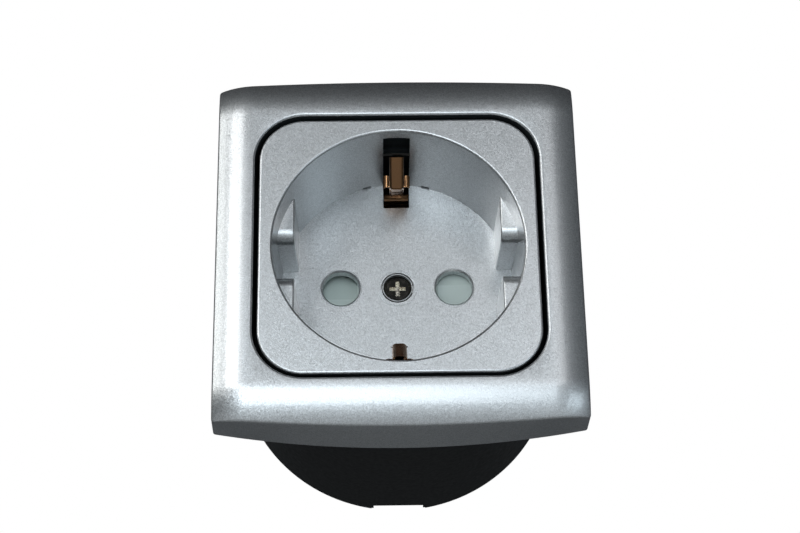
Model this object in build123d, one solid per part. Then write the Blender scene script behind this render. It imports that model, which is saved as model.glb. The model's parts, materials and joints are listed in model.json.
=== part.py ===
from build123d import *
import os
from math import cos, radians, sin, sqrt, tan

# A flush wall socket with side earth clips, for a 45 mm module, with its cover frame and rear box.
# Millimetres. X to the right and Z up on the wall, Y into the wall. The panel's face is y = 0,
# and the socket's axis runs through x = 0, z = 0.

# How far a cut or a joining solid runs past the face that it starts from
past = 1.0

# Centre plate and its recess
plate_size = 45.0
plate_corner = 7.4
plate_stand = 11.5  # the plate's front above the panel
plate_wall = 1.6
skirt_wall = 1.2
plate_edge_round = 0.4
recess_depth = 17.5
plate_rim = 2.2  # from the recess's rim to the plate's edge
recess_draft = 0.85  # how much narrower the recess is at its floor
recess_wall = 1.1
floor_wall = 1.6

# Guide lugs at the sides of the recess, and the notch between each pair
lug_depth = 5.2  # from the plate's front to the lugs' front faces
lug_reach = 3.4  # from the recess's rim in to the lugs' straight sides
lug_draft = 0.4
notch_half = 3.1
notch_round = 2.0
lug_edge_round = 0.3

# Pin holes
pin_pitch = 19.0
pin_hole_radius = 3.07
pin_hole_bevel = 0.25

# Centre screw and the boss that it runs through
screw_radius = 1.5
screw_clearance = 0.15
screw_head_radius = 2.55
screw_head_height = 1.9
screw_head_sink = 0.5
screw_tip = 1.2  # the thread's end behind the nut
screw_tip_room = 0.4
screw_crown = 0.65
head_clearance = 0.2
boss_radius = 3.6
head_ring_radius = 3.3
head_ring_width = 0.3
head_ring_height = 0.12
drive_radius = 1.35
drive_width = 0.62
drive_depth = 1.1

# Earth clips, as depths behind the plate's front and distances from the axis
clip_thickness = 0.6
clip_half_width = 2.0
tongue_half_width = 1.2
clip_apex_depth = 8.5
clip_apex_reach = 6.4  # from the recess's rim in to the clips' bends
clip_tip_rise = 3.95  # how far the tongue runs forwards and outwards from its apex
clip_wing_rise = 1.5
clip_foot_reach = 3.6
clip_lean = 0.3  # how far the clip's upright leans inwards before its bend
clip_bend = 1.4
slot_half_width = 2.2
slot_front_depth = 2.1
slot_floor_reach = 5.3
strap_half_width = 3.0
strap_tab_inset = 0.4

# Marks where the recess wall meets its floor
mark_centre = 5.0
mark_width = 1.4
mark_depth = 0.5

# Cover frame
plate_gap = 0.9
frame_rise = 0.45  # the frame's front above the plate's
side_flank = 5.9  # from the opening to the frame's side walls
end_flank = 5.65
frame_bow = 1.35
rear_grow = 0.25
rear_bow = 1.85
frame_corner_round = 1.3
frame_edge_round = 0.5
frame_rim_round = 0.45
frame_wall = 1.2
flank_radius = 11.5
flat_corner = 0.6
rim_flat = 0.6
sleeve_wall = 1.3
ledge_wall = 1.5
ledge_clearance = 0.4

# Mounting plate
mount_thickness = 1.2
mount_side_gap = 0.35
mount_corner = 2.0
mount_opening_clearance = 0.6
panel_hole_edge = 3.7  # from the plate's edge to the panel holes' axes
panel_hole_radius = 1.75
panel_sink_radius = 2.4

# Rear box
wire_room = 8.3  # behind the insert base
box_wall = 1.5
tower_radius = 2.3
tower_wall_overlap = 0.2
knockout_width = 9.5
knockout_length = 8.0
knockout_depth = 0.5
rim_notch_length = 2.3
rim_notch_depth = 0.9
rim_notch_slant = 0.8

# Shutter, its spring and its cover
running_gap = 0.06
shutter_gap = 0.3
shutter_thickness = 3.0
hub_radius = 6.8
wing_margin = 0.73
wing_half_angle = 23.0
open_angle = 42.0
stop_gap_angle = 1.5
stop_width = 1.2
stop_length = 3.6
stop_height = 2.6
ramp_start = 1.2
ramp_drop = 2.0
spring_wire = 0.4
spring_radius = 4.75
spring_half_turns = 3
spring_bend = 0.45
spring_pitch = 0.5
spring_room = 0.75
spring_recess_depth = 1.25
leg_clearance = 0.25
leg_slot_angle = 250.0
shutter_cover_step = 2.3  # how much narrower than the recess
shutter_cover_wall = 1.2
post_edge = 1.75
post_radius = 1.6
post_pin_radius = 0.9
post_head = 0.3
cover_hole_clearance = 0.1

# Contact cover and insert base
stack_gap = 0.4
cover_screw_edge = 4.05
cover_screw_angles = (130.4, -57.6)
contact_cover_wall = 1.5
base_step = 0.2  # how much narrower than the arms' inner faces
base_floor = 2.2
base_rear_bevel = 1.0
arm_half_width = 6.0
arm_gap = 0.6
arm_clearance = 0.5
tower_gap = 0.5
fixing_shift = 0.3  # the fixing screws, outwards from the arm's middle
chamber_half = 4.5
chamber_depth = 12.5
terminal_edge = 4.5
terminal_pocket_half = 3.6

# Contacts
sheet = 0.8
contact_half_width = 3.0
pin_grip = 4.3
leaf_entry = 1.5  # the leaves' start behind the base's front
leaf_flare = 0.7
flare_length = 1.5
contact_bend = 0.9
tab_depth = 4.9

# Terminals
earth_terminal_x = -6.9
earth_terminal_edge = 8.3
terminal_screw_radius = 1.6
terminal_head_radius = 3.0
terminal_head_height = 2.2
terminal_screw_length = 6.0
terminal_slot_width = 0.8
terminal_slot_depth = 0.9
terminal_tip_clearance = 0.3
terminal_tip_room = 0.5
clamp_side = 6.2
clamp_thickness = 1.1
clamp_corner = 0.5
thread_clearance = 0.1

# Small countersunk screws and the square nut
small_screw_radius = 1.1
small_head_radius = 2.1
small_head_height = 1.1
small_screw_length = 8.0
small_cross_radius = 1.1
small_cross_width = 0.45
small_cross_depth = 0.7
pilot_clearance = 0.05
nut_side = 5.5
nut_height = 2.4
nut_corner = 0.4
pocket_clearance = 0.15

# Levels along Y, worked out from the sizes above
plate_front = -plate_stand
floor_front = plate_front + recess_depth
floor_rear = floor_front + floor_wall
frame_front = plate_front - frame_rise
mount_front = -mount_thickness
ledge_front = mount_front - ledge_wall
shutter_front = floor_rear + shutter_gap
shutter_rear = shutter_front + shutter_thickness
shutter_cover_front = shutter_rear + shutter_gap
shutter_cover_rear = shutter_cover_front + shutter_cover_wall
contact_cover_front = shutter_cover_rear + stack_gap
base_front = contact_cover_front + contact_cover_wall
strap_rear = base_front + clip_thickness
nut_rear = strap_rear + nut_height
chamber_rear = base_front + chamber_depth
base_rear = chamber_rear + base_floor
box_depth = base_rear + wire_room + box_wall
tab_front = base_front + tab_depth
tab_rear = tab_front + sheet
clamp_front = tab_front - clamp_thickness
head_front = floor_front + screw_head_sink

# Places across the socket
recess_radius = plate_size / 2 - plate_rim
recess_floor_radius = recess_radius - recess_draft
cup_radius = recess_radius + recess_wall
lug_chord = recess_radius - lug_reach
clip_apex_height = recess_radius - clip_apex_reach
clip_foot_height = recess_radius - clip_foot_reach
slot_floor_height = recess_radius - slot_floor_reach
pin_x = pin_pitch / 2
opening_half = plate_size / 2 + plate_gap
opening_corner = plate_corner + plate_gap
ledge_radius = cup_radius + ledge_clearance
frame_half_width = opening_half + side_flank
frame_half_height = opening_half + end_flank
mount_half_width = frame_half_width + rear_grow - frame_wall - mount_side_gap
mount_half_height = frame_half_height + rear_grow - frame_wall - mount_side_gap
mount_opening_radius = cup_radius + mount_opening_clearance
panel_x = mount_half_width - panel_hole_edge
panel_z = mount_half_height - panel_hole_edge
wing_radius = pin_x + pin_hole_radius + wing_margin
shutter_cover_radius = recess_radius - shutter_cover_step
post_offset = (shutter_cover_radius - post_edge) * sqrt(0.5)
arm_inner_radius = cup_radius + arm_gap
base_radius = arm_inner_radius - base_step
tower_x = base_radius + tower_gap + tower_radius
box_inner_radius = tower_x + tower_radius - tower_wall_overlap
box_radius = box_inner_radius + box_wall
arm_outer_radius = box_inner_radius - arm_clearance
fixing_radius = (arm_inner_radius + arm_outer_radius) / 2 + fixing_shift
terminal_reach = base_radius - terminal_edge
earth_terminal_z = earth_terminal_edge - base_radius


def wall_plane(y):
    """The plane parallel to the wall at depth y, with X right and Z up."""
    return Plane((0, y, 0), x_dir=(1, 0, 0), z_dir=(0, -1, 0))


def slab(sketch, front, rear):
    """A sketch drawn on the wall, as a solid from y = front to y = rear."""
    return extrude(wall_plane(rear) * sketch, amount=rear - front)


def spot(x, z, sketch):
    return Pos(x, z) * sketch


def turned(points):
    """A solid turned about the Y axis from points of (radius, y)."""
    return revolve(make_face(Polyline(*points, close=True)), Axis.Y)


def side_cut(points, reach):
    """A solid from points of (y, z), reaching the same way to both sides along X."""
    outline = Polyline(*points, close=True)
    return extrude(Plane.YZ * make_face(outline), amount=reach, both=True)


def cross(radius, width):
    """The cross-shaped opening of a screwdriver recess."""
    return Rectangle(2 * radius, width) + Rectangle(width, 2 * radius)


def recess_form(extra, front, rear):
    """The tapering round recess, widened by extra, between two levels."""
    slope = (recess_radius - recess_floor_radius) / recess_depth
    wide = recess_radius + extra - slope * (front - plate_front)
    narrow = recess_radius + extra - slope * (rear - plate_front)
    return turned([(0, front), (wide, front), (narrow, rear), (0, rear)])


def sunk_hole(x, z, radius, sink_radius, front, rear):
    """A countersunk hole, wide at the front."""
    slope_depth = sink_radius - radius
    profile = [(0, front - past), (sink_radius, front - past), (sink_radius, front),
               (radius, front + slope_depth), (radius, rear + past), (0, rear + past)]
    return Pos(x, 0, z) * turned(profile)


def small_screw(x, z, front):
    """A countersunk cross-head screw whose head is flush at y = front."""
    profile = [(0, front), (small_head_radius, front), (small_screw_radius, front + small_head_height),
               (small_screw_radius, front + small_screw_length - small_screw_radius),
               (0, front + small_screw_length)]
    drive = slab(cross(small_cross_radius, small_cross_width), front - past, front + small_cross_depth)
    return Pos(x, 0, z) * (turned(profile) - drive)


def small_sink(x, z, front, rear):
    """The countersunk hole that a small screw passes through."""
    radius = small_screw_radius + pilot_clearance
    head_radius = small_head_radius + pilot_clearance
    profile = [(0, front - past), (head_radius, front - past), (head_radius, front),
               (radius, front + small_head_height), (radius, rear + past), (0, rear + past)]
    return Pos(x, 0, z) * turned(profile)


def small_pilot(x, z, front, rear):
    return slab(spot(x, z, Circle(small_screw_radius + pilot_clearance)), front, rear)


# Centre plate: the square front, the round recess, the lugs, the pin holes and the boss
def guide_lug():
    """The upper right guide lug, with its front edge rounded towards the notch."""
    front = plate_front + lug_depth
    outer = cup_radius
    profile = [(lug_chord, front), (outer, front), (outer, floor_front + floor_wall / 2),
               (lug_chord - lug_draft, floor_front + floor_wall / 2)]
    face = make_face(Polyline(*profile, close=True))
    block = Pos(0, 0, notch_half) * extrude(face, amount=recess_radius)
    corner = block.edges().filter_by(Axis.X).sort_by(Axis.Z)[0:2].sort_by(Axis.Y)[0]
    block = fillet(corner, notch_round)
    long_edge = block.edges().filter_by(Axis.Z).group_by(Axis.Y)[0].sort_by(Axis.X)[0]
    block = fillet(long_edge, lug_edge_round)
    return block & recess_form(recess_wall / 2, plate_front, floor_rear)


def clip_slot():
    """The slot for the upper earth clip, in the recess wall and on into its floor."""
    top = plate_front + slot_front_depth
    inner = recess_floor_radius - past
    outer = cup_radius + past
    wall_part = [(top, inner), (floor_rear + past, inner), (floor_rear + past, outer), (top, outer)]
    floor_part = [(floor_front - past, slot_floor_height), (floor_rear + past, slot_floor_height),
                  (floor_rear + past, inner + past), (floor_front - past, inner + past)]
    return side_cut(wall_part, slot_half_width) + side_cut(floor_part, slot_half_width)


def shutter_stops():
    """The ribs that the shutter's wings rest on when it is shut and when it is open."""
    middle = wing_radius - stop_length / 2
    rest = Rot(0, 0, -wing_half_angle - stop_gap_angle) * Pos(middle, -stop_width / 2)
    opened = Rot(0, 0, open_angle + wing_half_angle + stop_gap_angle) * Pos(middle, stop_width / 2)
    rib = Rectangle(stop_length, stop_width)
    pair = rest * rib + opened * rib
    return pair + Rot(0, 0, 180) * pair


def centre_plate():
    outline = RectangleRounded(plate_size, plate_size, plate_corner)
    inside_size = plate_size - 2 * skirt_wall
    inside = RectangleRounded(inside_size, inside_size, plate_corner - skirt_wall)
    plate = slab(outline, plate_front, ledge_front) - slab(inside, plate_front + plate_wall, ledge_front)
    plate += recess_form(recess_wall, plate_front, floor_rear)
    plate -= recess_form(0, plate_front, floor_front)
    plate = fillet(plate.edges().group_by(Axis.Y)[0], plate_edge_round)
    lug = guide_lug()
    lug_pair = lug + mirror(lug, about=Plane.XY)
    plate += lug_pair + mirror(lug_pair, about=Plane.YZ)
    boss = slab(Circle(boss_radius), floor_rear, contact_cover_front)
    ring = Circle(head_ring_radius) - Circle(head_ring_radius - head_ring_width)
    plate += boss + slab(ring, floor_front - head_ring_height, floor_front)
    for x in (-post_offset, post_offset):
        for z in (-post_offset, post_offset):
            plate += slab(spot(x, z, Circle(post_radius)), floor_rear, shutter_cover_front)
            plate += slab(spot(x, z, Circle(post_pin_radius)), shutter_cover_front,
                          shutter_cover_rear + post_head)
    plate += slab(shutter_stops(), floor_rear, floor_rear + stop_height)
    slot = clip_slot()
    plate -= slot + mirror(slot, about=Plane.XY)
    for x in (-pin_x, pin_x):
        mouth = pin_hole_radius + pin_hole_bevel
        hole = [(0, floor_front - past), (mouth + past, floor_front - past),
                (pin_hole_radius, floor_front + pin_hole_bevel), (pin_hole_radius, floor_rear + past),
                (0, floor_rear + past)]
        plate -= Pos(x, 0, 0) * turned(hole)
    seat_rear = head_front + screw_head_height
    head_room = screw_head_radius + head_clearance
    plate -= slab(Circle(head_room), floor_front - past, seat_rear)
    plate -= slab(Circle(screw_radius + screw_clearance), seat_rear - past, contact_cover_front + past)
    mark_z = sqrt(recess_floor_radius ** 2 - mark_centre ** 2)
    for x in (-mark_centre, mark_centre):
        mark = spot(x, mark_z, Rectangle(mark_width, 2 * mark_depth))
        plate -= slab(mark, floor_front - mark_depth, floor_front)
    return plate


# Cover frame: flanks that fall away from the opening, over a hollow back with a sleeve
def bowed_outline(half_width, half_height, bow):
    """A rectangle whose top and bottom edges bow outwards."""
    corner = (half_width, half_height)
    right = Line((half_width, -half_height), corner)
    top = ThreePointArc(corner, (0, half_height + bow), (-half_width, half_height))
    left = Line((-half_width, half_height), (-half_width, -half_height))
    bottom = ThreePointArc((-half_width, -half_height), (0, -half_height - bow), (half_width, -half_height))
    return make_face(Curve() + [right, top, left, bottom])


def frame_form(inset):
    """The frame's outer form, or its hollow where inset is the wall."""
    half_width = frame_half_width - inset
    half_height = frame_half_height - inset
    front = frame_front + inset
    front_face = wall_plane(frame_front - past) * bowed_outline(half_width, half_height, frame_bow)
    rear_face = wall_plane(0) * bowed_outline(half_width + rear_grow, half_height + rear_grow, rear_bow)
    sides = loft([front_face, rear_face], ruled=True)
    corners = sides.edges().filter_by(lambda edge: edge.length < frame_half_height)
    sides = fillet(corners, max(frame_corner_round - inset, frame_corner_round / 4))
    radius = flank_radius - inset
    flat_half = opening_half + rim_flat
    spread = flat_half + radius
    block = RectangleRounded(2 * spread, 2 * spread, flat_corner + radius)
    pillow = slab(block, front, front + radius + past)
    pillow = fillet(pillow.edges().group_by(Axis.Y)[0], radius)
    pillow += slab(Rectangle(3 * spread, 3 * spread), front + radius, past)
    return sides & pillow


def outer_edges(shell):
    """The loop of edges between the flanks and the side walls."""
    beyond = opening_half + rim_flat + flank_radius / 4
    front_edges = shell.edges().filter_by(lambda edge: edge.center().Y < frame_front / 2)
    return front_edges.filter_by(lambda edge: max(abs(edge.center().X), abs(edge.center().Z)) > beyond)


def opening_edges(shell):
    """The front edges of the frame's opening."""
    within = opening_half + rim_flat / 2
    front_edges = shell.edges().group_by(Axis.Y)[0].filter_by(lambda edge: edge.length > opening_corner)
    return front_edges.filter_by(lambda edge: max(abs(edge.center().X), abs(edge.center().Z)) < within)


def cover_frame():
    shell = frame_form(0)
    shell = fillet(outer_edges(shell), frame_edge_round) - frame_form(frame_wall)
    sleeve_half = opening_half + sleeve_wall
    sleeve = RectangleRounded(2 * sleeve_half, 2 * sleeve_half, opening_corner + sleeve_wall)
    opening = RectangleRounded(2 * opening_half, 2 * opening_half, opening_corner)
    shell += slab(sleeve, frame_front + frame_wall / 2, mount_front)
    shell -= slab(opening, frame_front - past, ledge_front)
    shell = fillet(opening_edges(shell), frame_rim_round)
    shell -= slab(Circle(ledge_radius), ledge_front - past, mount_front + past)
    return shell


# Mounting plate: the steel square that is screwed to the panel
def mounting_plate():
    plate = slab(RectangleRounded(2 * mount_half_width, 2 * mount_half_height, mount_corner), mount_front, 0)
    plate -= slab(Circle(mount_opening_radius), mount_front - past, past)
    for x in (-panel_x, panel_x):
        for z in (-panel_z, panel_z):
            plate -= sunk_hole(x, z, panel_hole_radius, panel_sink_radius, mount_front, 0)
    for x, z in ((-tower_x, 0), (tower_x, 0), (0, -fixing_radius), (0, fixing_radius)):
        plate -= small_sink(x, z, mount_front, 0)
    return plate


# Rear box: the round cup that shields the wiring
def rear_box():
    floor = box_depth - box_wall
    box = turned([(0, floor), (box_inner_radius, floor), (box_inner_radius, 0), (box_radius, 0),
                  (box_radius, box_depth), (0, box_depth)])
    for x in (-tower_x, tower_x):
        box += slab(spot(x, 0, Circle(tower_radius)), 0, floor + box_wall / 2)
        box -= small_pilot(x, 0, -past, small_screw_length + past)
    half = knockout_width / 2
    arch = Rectangle(knockout_width, 2 * (knockout_length - half))
    arch += spot(0, half - knockout_length, Circle(half))
    panel = Pos(0, box_depth, -box_radius) * extrude(arch, amount=knockout_depth, both=True)
    notch_top = rim_notch_depth - box_radius
    notch_points = [(-half, -box_radius - past), (half, -box_radius - past), (half, -box_radius),
                    (half - rim_notch_slant, notch_top), (rim_notch_slant - half, notch_top),
                    (-half, -box_radius)]
    notch_face = make_face(Polyline(*notch_points, close=True))
    notch = slab(notch_face, box_depth - rim_notch_length, box_depth + past)
    cut = panel + notch
    return box - cut - mirror(cut, about=Plane.XY)


# Shutter: a turning bar with two ramps, its return spring and the plate behind it
def shutter():
    reach = 2 * wing_radius
    spread = reach * tan(radians(wing_half_angle))
    bow_tie = make_face(Polyline((0, 0), (reach, spread), (reach, -spread), close=True))
    bow_tie += make_face(Polyline((0, 0), (-reach, spread), (-reach, -spread), close=True))
    blade = Circle(wing_radius) & bow_tie
    blank = slab(blade + Circle(hub_radius), shutter_front, shutter_rear)
    low = -wing_radius * sin(radians(wing_half_angle)) - past
    ramp_points = [(shutter_front, ramp_start), (shutter_front + ramp_drop, low), (shutter_front - past, low),
                   (shutter_front - past, ramp_start)]
    outside_hub = spot(wing_radius, 0, Rectangle(2 * (wing_radius - hub_radius), reach))
    ramp = side_cut(ramp_points, wing_radius) & slab(outside_hub, shutter_front - past, shutter_rear)
    blank -= ramp + Rot(0, 180, 0) * ramp
    blank -= slab(Circle(boss_radius + running_gap), shutter_front - past, shutter_rear + past)
    spring_recess = Circle(spring_radius + spring_wire / 2 + spring_room)
    leg_slot = Rectangle(spring_wire + 2 * leg_clearance, spring_leg_length() + past)
    leg_slot = spot(spring_radius, (spring_leg_length() + past) / 2, leg_slot)
    spring_recess += Rot(0, 0, leg_slot_angle) * leg_slot
    return blank - slab(spring_recess, shutter_rear - spring_recess_depth, shutter_rear + past)


def spring_leg_length():
    """The outer leg, which runs off the coil in a straight line to the hub's rim."""
    return sqrt(hub_radius ** 2 - spring_radius ** 2)


def shutter_spring():
    """A torsion spring: a leg in the shutter, a short coil, and a leg that turns back into the cover."""
    front = shutter_rear - spring_recess_depth + leg_clearance + spring_wire / 2
    rise = spring_pitch / 2
    wire = Circle(spring_wire / 2)
    coil = Curve()
    for turn in range(spring_half_turns):
        side = spring_radius * (-1) ** turn
        level = turn * rise
        coil += ThreePointArc((side, 0, level), (0, side, level + rise / 2), (-side, 0, level + rise))
    bend_y = spring_bend * (-1) ** spring_half_turns
    centre = coil @ 1 + Vector(0, 0, spring_bend)
    middle = centre + Vector(0, bend_y, -spring_bend) * sqrt(0.5)
    coil += ThreePointArc(coil @ 1, middle, centre + Vector(0, bend_y, 0))
    spring = sweep(Plane(coil @ 0, z_dir=coil % 0) * wire, path=coil)
    spring += extrude(Plane(coil @ 0, z_dir=(0, -1, 0)) * wire, amount=spring_leg_length())
    back_length = shutter_cover_rear - front - (coil @ 1).Z
    spring += extrude(Plane(coil @ 1, z_dir=(0, 0, 1)) * wire, amount=back_length)
    return Pos(0, front, 0) * Rot(-90, 0, 0) * Rot(0, 0, -leg_slot_angle) * spring


def spring_leg_end():
    """Where the spring's back leg stands, as (x, z)."""
    turned_by = radians(leg_slot_angle + 180 * spring_half_turns)
    x = spring_radius * cos(turned_by) + spring_bend * sin(turned_by)
    z = spring_radius * sin(turned_by) - spring_bend * cos(turned_by)
    return x, z


def shutter_cover():
    plate = Circle(shutter_cover_radius) - Circle(boss_radius + cover_hole_clearance)
    for x in (-pin_x, pin_x):
        plate -= spot(x, 0, Circle(pin_hole_radius + cover_hole_clearance))
    for x in (-post_offset, post_offset):
        for z in (-post_offset, post_offset):
            plate -= spot(x, z, Circle(post_pin_radius + cover_hole_clearance / 2))
    notch_depth = shutter_cover_radius - clip_foot_height + clip_bend + clip_thickness
    notch = Rectangle(2 * clip_half_width + 2 * arm_gap, 2 * notch_depth)
    for z in (-shutter_cover_radius, shutter_cover_radius):
        plate -= spot(0, z, notch)
    x, z = spring_leg_end()
    plate -= spot(x, z, Circle(spring_wire / 2 + cover_hole_clearance))
    return slab(plate, shutter_cover_front, shutter_cover_rear)


# Insert base and its contact cover
def terminal_places():
    """The terminals' axes, as (x, z)."""
    return (-terminal_reach, 0), (terminal_reach, 0), (earth_terminal_x, earth_terminal_z)


def cover_screw_places():
    """The contact cover's screws, as (x, z)."""
    reach = base_radius - cover_screw_edge
    return [(reach * cos(radians(angle)), reach * sin(radians(angle))) for angle in cover_screw_angles]


def contact_cover():
    plate = Circle(base_radius) - Circle(screw_radius + screw_clearance)
    for x in (-pin_x, pin_x):
        plate -= spot(x, 0, Circle(pin_hole_radius + cover_hole_clearance))
    for x, z in terminal_places():
        plate -= spot(x, z, Circle(terminal_head_radius + arm_gap))
    slot_inner = clip_foot_height - clip_bend - clip_thickness
    slot = Rectangle(2 * clip_half_width + 2 * arm_gap, 2 * (base_radius - slot_inner))
    for z in (-base_radius, base_radius):
        plate -= spot(0, z, slot)
    cover = slab(plate, contact_cover_front, base_front)
    for x, z in cover_screw_places():
        cover -= small_sink(x, z, contact_cover_front, base_front)
    return cover


def insert_base():
    block = turned([(0, base_front), (base_radius, base_front), (base_radius, base_rear - base_rear_bevel),
                    (base_radius - base_rear_bevel, base_rear), (0, base_rear)])
    arm_strip = Rectangle(2 * arm_half_width, 4 * arm_outer_radius)
    arm_ends = Circle(arm_outer_radius) & arm_strip
    base = block + slab(arm_ends - Circle(arm_inner_radius), 0, base_front + past)
    base += slab(arm_ends - Circle(base_radius - past), base_front, base_rear - base_rear_bevel)
    for z in (-fixing_radius, fixing_radius):
        base -= small_pilot(0, z, -past, small_screw_length + past)
    start = base_front - past
    strap_room = Rectangle(2 * (strap_half_width + pocket_clearance), 2 * (clip_foot_height + clip_thickness))
    base -= slab(strap_room, start, strap_rear)
    nut_room = nut_side + 2 * pocket_clearance
    base -= slab(Rectangle(nut_room, nut_room), start, nut_rear)
    base -= slab(Circle(screw_radius + screw_clearance), start, nut_rear + screw_tip + screw_tip_room)
    for x in (-pin_x, pin_x):
        base -= slab(spot(x, 0, Rectangle(2 * chamber_half, 2 * chamber_half)), start, chamber_rear)
    for x, z in terminal_places():
        base -= terminal_pocket(x, z)
    for x, z in cover_screw_places():
        base -= small_pilot(x, z, start, contact_cover_front + small_screw_length + past)
    return base


def terminal_pocket(x, z):
    """Room for one terminal: its tab, its screw's tip and the wire that comes from below."""
    half = terminal_pocket_half
    channel_height = base_radius + z + half
    room = spot(x, z, Rectangle(2 * half, 2 * half))
    room += spot(x, z + half - channel_height / 2, Rectangle(2 * half, channel_height))
    inward = half if x < 0 else -half
    room += spot(x + inward, z, Rectangle(2 * half, 2 * half))
    tip = Circle(terminal_screw_radius + terminal_tip_clearance)
    tip_rear = clamp_front + terminal_screw_length + terminal_tip_room
    return slab(room, base_front - past, tab_rear) + slab(spot(x, z, tip), tab_rear - past, tip_rear)


# Contacts: one strip each, bent into a fork for the pin and out to its terminal
def line_contact():
    """The right-hand contact."""
    half = pin_grip / 2 + sheet / 2
    inner, outer = pin_x - half, pin_x + half
    leaf_front = base_front + leaf_entry
    bottom = chamber_rear - sheet / 2
    tab = tab_front + sheet / 2
    tab_end = terminal_reach + clamp_side / 2
    points = [(inner - leaf_flare, leaf_front), (inner, leaf_front + flare_length), (inner, bottom),
              (outer, bottom), (outer, tab), (tab_end, tab)]
    line = FilletPolyline(*points, radius=contact_bend)
    strip = extrude(trace(line, line_width=sheet), amount=contact_half_width, both=True)
    hole = spot(terminal_reach, 0, Circle(terminal_screw_radius + thread_clearance))
    return strip - slab(hole, tab_front - past, tab_rear + past)


def earth_clip():
    """Half of the strap, from its middle to the upper clip's tongue."""
    apex_y = plate_front + clip_apex_depth
    foot = clip_foot_height
    half_line = [(base_front + clip_thickness / 2, 0), (base_front + clip_thickness / 2, foot),
                 (floor_front, foot - clip_lean), (apex_y, clip_apex_height),
                 (apex_y - clip_tip_rise, clip_apex_height + clip_tip_rise)]
    profile = trace(FilletPolyline(*half_line, radius=clip_bend), line_width=clip_thickness)
    half = extrude(Plane.YZ * profile, amount=clip_half_width, both=True)
    trim = Box(2 * clip_half_width, 2 * clip_tip_rise, 4 * clip_tip_rise)
    for side in (-1, 1):
        x = side * (tongue_half_width + clip_half_width)
        half -= Pos(x, apex_y - clip_wing_rise - clip_tip_rise, clip_apex_height) * trim
    return half


def earth_strap():
    """The strap across the base, whose ends come forward as the two earth clips."""
    clip = earth_clip()
    strap = clip + mirror(clip, about=Plane.XY)
    wide = Rectangle(2 * strap_half_width, 2 * (strap_half_width + nut_side))
    strap += slab(wide, base_front, strap_rear)
    x, z = earth_terminal_x, earth_terminal_z
    middle = base_front + clip_thickness / 2
    tab = tab_front + clip_thickness / 2
    bend_x = strap_tab_inset - strap_half_width
    tab_line = FilletPolyline((0, middle), (bend_x, middle), (bend_x, tab), (x - clamp_side / 2, tab),
                              radius=contact_bend / 2)
    tab_solid = extrude(trace(tab_line, line_width=clip_thickness), amount=contact_half_width, both=True)
    strap += Pos(0, 0, z) * tab_solid
    tab_hole = spot(x, z, Circle(terminal_screw_radius + thread_clearance))
    strap -= slab(tab_hole, tab_front - past, tab_rear + past)
    return strap - slab(Circle(screw_radius + screw_clearance), base_front - past, strap_rear + past)


# Fasteners
def centre_screw():
    head_rear = head_front + screw_head_height
    head = turned([(0, head_front), (screw_head_radius - screw_crown, head_front),
                   (screw_head_radius, head_front + screw_crown), (screw_head_radius, head_rear),
                   (0, head_rear)])
    screw = head + slab(Circle(screw_radius), head_rear, nut_rear + screw_tip)
    return screw - slab(cross(drive_radius, drive_width), head_front - past, head_front + drive_depth)


def centre_nut():
    nut = RectangleRounded(nut_side, nut_side, nut_corner) - Circle(screw_radius + thread_clearance / 2)
    return slab(nut, strap_rear, nut_rear)


def terminal_screw(x, z):
    front = clamp_front - terminal_head_height
    screw = slab(Circle(terminal_head_radius), front, clamp_front)
    screw += slab(Circle(terminal_screw_radius), clamp_front, clamp_front + terminal_screw_length)
    slot = Rectangle(2 * terminal_head_radius, terminal_slot_width)
    return Pos(x, 0, z) * (screw - slab(slot, front - past, front + terminal_slot_depth))


def clamp_plate(x, z):
    plate = RectangleRounded(clamp_side, clamp_side, clamp_corner)
    plate -= Circle(terminal_screw_radius + thread_clearance)
    return Pos(x, 0, z) * slab(plate, clamp_front, tab_front)


def build():
    """Every piece by its name."""
    right = line_contact()
    pieces = {
        "cover_frame": cover_frame(),
        "centre_plate": centre_plate(),
        "centre_screw": centre_screw(),
        "mounting_plate": mounting_plate(),
        "shutter": shutter(),
        "shutter_spring": shutter_spring(),
        "shutter_cover": shutter_cover(),
        "contact_cover": contact_cover(),
        "insert_base": insert_base(),
        "contact_left": mirror(right, about=Plane.YZ),
        "contact_right": right,
        "earth_strap": earth_strap(),
        "centre_nut": centre_nut(),
        "rear_box": rear_box(),
        "base_screw_top": small_screw(0, fixing_radius, mount_front),
        "base_screw_bottom": small_screw(0, -fixing_radius, mount_front),
        "box_screw_left": small_screw(-tower_x, 0, mount_front),
        "box_screw_right": small_screw(tower_x, 0, mount_front),
    }
    for name, (x, z) in zip(("left", "right", "earth"), terminal_places()):
        pieces[f"terminal_screw_{name}"] = terminal_screw(x, z)
        pieces[f"clamp_plate_{name}"] = clamp_plate(x, z)
    for name, (x, z) in zip(("upper", "lower"), cover_screw_places()):
        pieces[f"cover_screw_{name}"] = small_screw(x, z, contact_cover_front)
    return pieces


if __name__ == "__main__":
    os.makedirs("parts", exist_ok=True)
    for name, piece in build().items():
        export_step(piece, f"parts/{name}.step")
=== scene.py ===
import json
import math

import bmesh
import bpy
import numpy as np
from mathutils import Matrix, Vector


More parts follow.
